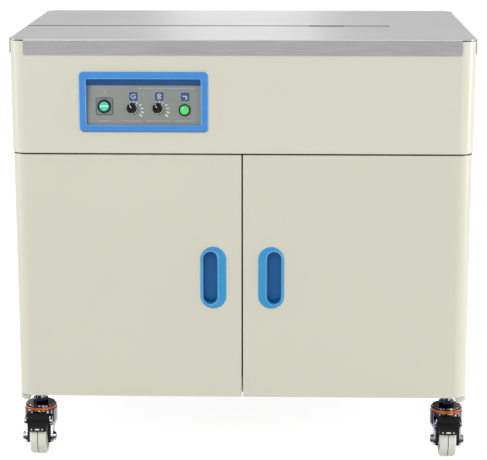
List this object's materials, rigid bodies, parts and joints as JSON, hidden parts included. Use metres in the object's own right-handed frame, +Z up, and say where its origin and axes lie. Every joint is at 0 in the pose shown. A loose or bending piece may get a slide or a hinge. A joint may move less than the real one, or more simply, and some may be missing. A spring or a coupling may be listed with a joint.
{
  "type": "semi-automatic strapping machine",
  "caption": "Cabinet strapping machine on swivel casters with a hinged steel table, strap slot, tilted control panel, paired doors, strap reel and sealing head.",
  "frame": {"origin": "on the floor, under the middle of the whole machine's box", "axes": "+X along the table to the right as seen by the operator, +Y from the front to the back, +Z up"},
  "size_m": [0.906, 0.6062, 0.85],
  "materials": {
    "cream_paint": "satin powder coat",
    "table_steel": "brushed stainless sheet",
    "blue_plastic": "smooth moulded plastic",
    "panel_metal": "fine brushed",
    "black_plastic": "satin moulded",
    "grey_plastic": "satin moulded",
    "green_lens": "lit lens",
    "circuit_board": "printed board",
    "chrome": "bright plated",
    "copper_race": "plated ring",
    "wheel_nylon": "smooth nylon",
    "steel": "machined",
    "dark_steel": "oiled dark steel",
    "frame_paint": "powder coat",
    "rubber": "moulded rubber",
    "aluminium": "machined",
    "motor_paint": "enamel",
    "copper_coil": "taped winding",
    "reel_plastic": "moulded sheet"
  },
  "bodies": {
    "cabinet": {"back_panel": "cream_paint", "base_frame": "frame_paint", "cabinet_frame": "frame_paint", "cable_gland": "black_plastic", "caster_races": "copper_race", "caster_stems": "chrome", "control_board": "circuit_board", "corner_feet": "cream_paint", "door_catches": "black_plastic", "door_hinge_pins": "steel", "drive_belt": "rubber", "drive_motor": "motor_paint", "feed_plate": "steel", "floor_tray": "frame_paint", "head_frame": "steel", "left_side_panel": "cream_paint", "panel_bezel": "blue_plastic", "panel_plate": "panel_metal", "power_switch_frame": "black_plastic", "reel_stand": "steel", "reset_button_ring": "black_plastic", "right_side_panel": "cream_paint", "table_buffers": "rubber", "table_hinge_base": "steel", "transformer": "copper_coil", "upper_cover": "cream_paint"},
    "left_door": {"left_door": "cream_paint", "left_handle": "blue_plastic"},
    "right_door": {"right_door": "cream_paint", "right_handle": "blue_plastic"},
    "table": {"table_top": "table_steel", "table_hinge_flap": "steel"},
    "fork_front_left": {"caster_fork_front_left": "chrome"},
    "wheel_front_left": {"caster_wheel_front_left": "wheel_nylon"},
    "brake_front_left": {"caster_brake_front_left": "black_plastic"},
    "fork_front_right": {"caster_fork_front_right": "chrome"},
    "wheel_front_right": {"caster_wheel_front_right": "wheel_nylon"},
    "brake_front_right": {"caster_brake_front_right": "black_plastic"},
    "fork_rear_left": {"caster_fork_rear_left": "chrome"},
    "wheel_rear_left": {"caster_wheel_rear_left": "wheel_nylon"},
    "fork_rear_right": {"caster_fork_rear_right": "chrome"},
    "wheel_rear_right": {"caster_wheel_rear_right": "wheel_nylon"},
    "power_rocker": {"power_rocker": "green_lens"},
    "feed_knob": {"feed_knob": "black_plastic"},
    "tension_knob": {"tension_knob": "black_plastic"},
    "reset_button": {"reset_button": "green_lens"},
    "reel": {"reel_drum": "reel_plastic", "reel_front_flange": "reel_plastic"},
    "hand_nut": {"reel_hand_nut": "black_plastic"},
    "reel_brake": {"reel_brake_arm": "steel"},
    "feed_roller": {"feed_roller": "rubber"},
    "pinch_roller": {"pinch_roller": "aluminium"},
    "guide_roller": {"guide_roller": "aluminium"},
    "camshaft": {"cam_shaft": "steel", "cams": "dark_steel", "cam_pulley": "aluminium"},
    "grippers": {"grippers": "dark_steel"},
    "motor_pulley": {"motor_pulley": "aluminium"},
    "slide_plate": {"slide_plate": "dark_steel"},
    "heater": {"heater": "dark_steel"}
  },
  "joints": [
    {"name": "left_door_hinge", "type": "hinge", "parent": "cabinet", "child": "left_door", "pos_m": [-0.435, -0.28034, 0.38], "axis": [0, 0, -1], "range_deg": [0, 110]},
    {"name": "right_door_hinge", "type": "hinge", "parent": "cabinet", "child": "right_door", "pos_m": [0.435, -0.28034, 0.38], "axis": [0, 0, 1], "range_deg": [0, 110]},
    {"name": "table_hinge", "type": "hinge", "parent": "cabinet", "child": "table", "pos_m": [0, 0.29756, 0.82], "axis": [-1, 0, 0], "range_deg": [0, 80]},
    {"name": "swivel_front_left", "type": "hinge", "parent": "cabinet", "child": "fork_front_left", "pos_m": [-0.4152, -0.22934, 0.09], "axis": [0, 0, 1], "continuous": true},
    {"name": "roll_front_left", "type": "hinge", "parent": "fork_front_left", "child": "wheel_front_left", "pos_m": [-0.4152, -0.25734, 0.035], "axis": [1, 0, 0], "continuous": true},
    {"name": "brake_pedal_front_left", "type": "hinge", "parent": "fork_front_left", "child": "brake_front_left", "pos_m": [-0.4152, -0.27384, 0.072], "axis": [1, 0, 0], "range_deg": [0, 6]},
    {"name": "swivel_front_right", "type": "hinge", "parent": "cabinet", "child": "fork_front_right", "pos_m": [0.4152, -0.22934, 0.09], "axis": [0, 0, 1], "continuous": true},
    {"name": "roll_front_right", "type": "hinge", "parent": "fork_front_right", "child": "wheel_front_right", "pos_m": [0.4152, -0.25734, 0.035], "axis": [1, 0, 0], "continuous": true},
    {"name": "brake_pedal_front_right", "type": "hinge", "parent": "fork_front_right", "child": "brake_front_right", "pos_m": [0.4152, -0.27384, 0.072], "axis": [1, 0, 0], "range_deg": [0, 6]},
    {"name": "swivel_rear_left", "type": "hinge", "parent": "cabinet", "child": "fork_rear_left", "pos_m": [-0.4152, 0.22106, 0.09], "axis": [0, 0, 1], "continuous": true},
    {"name": "roll_rear_left", "type": "hinge", "parent": "fork_rear_left", "child": "wheel_rear_left", "pos_m": [-0.4152, 0.19306, 0.035], "axis": [1, 0, 0], "continuous": true},
    {"name": "swivel_rear_right", "type": "hinge", "parent": "cabinet", "child": "fork_rear_right", "pos_m": [0.4152, 0.22106, 0.09], "axis": [0, 0, 1], "continuous": true},
    {"name": "roll_rear_right", "type": "hinge", "parent": "fork_rear_right", "child": "wheel_rear_right", "pos_m": [0.4152, 0.19306, 0.035], "axis": [1, 0, 0], "continuous": true},
    {"name": "power_switch", "type": "hinge", "parent": "cabinet", "child": "power_rocker", "pos_m": [-0.2679, -0.2896, 0.71951], "axis": [1, 0, 0], "range_deg": [-12, 0]},
    {"name": "feed_knob_turn", "type": "hinge", "parent": "cabinet", "child": "feed_knob", "pos_m": [-0.2138, -0.28712, 0.71535], "axis": [0, -0.9913, 0.1313], "range_deg": [-140, 140]},
    {"name": "tension_knob_turn", "type": "hinge", "parent": "cabinet", "child": "tension_knob", "pos_m": [-0.1638, -0.28712, 0.71535], "axis": [0, -0.9913, 0.1313], "range_deg": [-140, 140]},
    {"name": "reset_button_push", "type": "slide", "parent": "cabinet", "child": "reset_button", "axis": [0, 0.9913, -0.1313], "range_m": [0, 0.003], "stiffness_N_per_m": 300},
    {"name": "reel_spin", "type": "hinge", "parent": "cabinet", "child": "reel", "pos_m": [-0.205, -0.22234, 0.378], "axis": [0, 1, 0], "continuous": true},
    {"name": "hand_nut_turn", "type": "hinge", "parent": "cabinet", "child": "hand_nut", "pos_m": [-0.205, -0.23034, 0.378], "axis": [0, 1, 0], "range_deg": [0, 360]},
    {"name": "reel_brake_lift", "type": "hinge", "parent": "cabinet", "child": "reel_brake", "pos_m": [-0.16, -0.02634, 0.5865], "axis": [0, 1, 0], "range_deg": [0, 15]},
    {"name": "feed_roller_spin", "type": "hinge", "parent": "cabinet", "child": "feed_roller", "pos_m": [0.085, -0.03494, 0.76], "axis": [0, 1, 0], "continuous": true},
    {"name": "pinch_roller_spin", "type": "hinge", "parent": "cabinet", "child": "pinch_roller", "pos_m": [0.085, -0.03494, 0.7274], "axis": [0, 1, 0], "continuous": true},
    {"name": "guide_roller_spin", "type": "hinge", "parent": "cabinet", "child": "guide_roller", "pos_m": [0.063, -0.03494, 0.674], "axis": [0, 1, 0], "continuous": true},
    {"name": "camshaft_turn", "type": "hinge", "parent": "cabinet", "child": "camshaft", "pos_m": [0.167, -0.03494, 0.7005], "axis": [1, 0, 0], "range_deg": [0, 120]},
    {"name": "gripper_lift", "type": "slide", "parent": "cabinet", "child": "grippers", "axis": [0, 0, 1], "range_m": [0, 0.006]},
    {"name": "motor_pulley_turn", "type": "hinge", "parent": "cabinet", "child": "motor_pulley", "pos_m": [0.217, -0.03494, 0.5305], "axis": [1, 0, 0], "range_deg": [0, 241]},
    {"name": "slide_plate_slide", "type": "slide", "parent": "cabinet", "child": "slide_plate", "axis": [0, 1, 0], "range_m": [0, 0.025]},
    {"name": "heater_slide", "type": "slide", "parent": "cabinet", "child": "heater", "axis": [0, -1, 0], "range_m": [0, 0.018]}
  ],
  "couplings": [
    {"joint": "gripper_lift", "follows": "camshaft_turn", "m_per_rad": 0.00286},
    {"joint": "motor_pulley_turn", "follows": "camshaft_turn", "ratio": 2},
    {"joint": "pinch_roller_spin", "follows": "feed_roller_spin", "ratio": -1.6667}
  ]
}
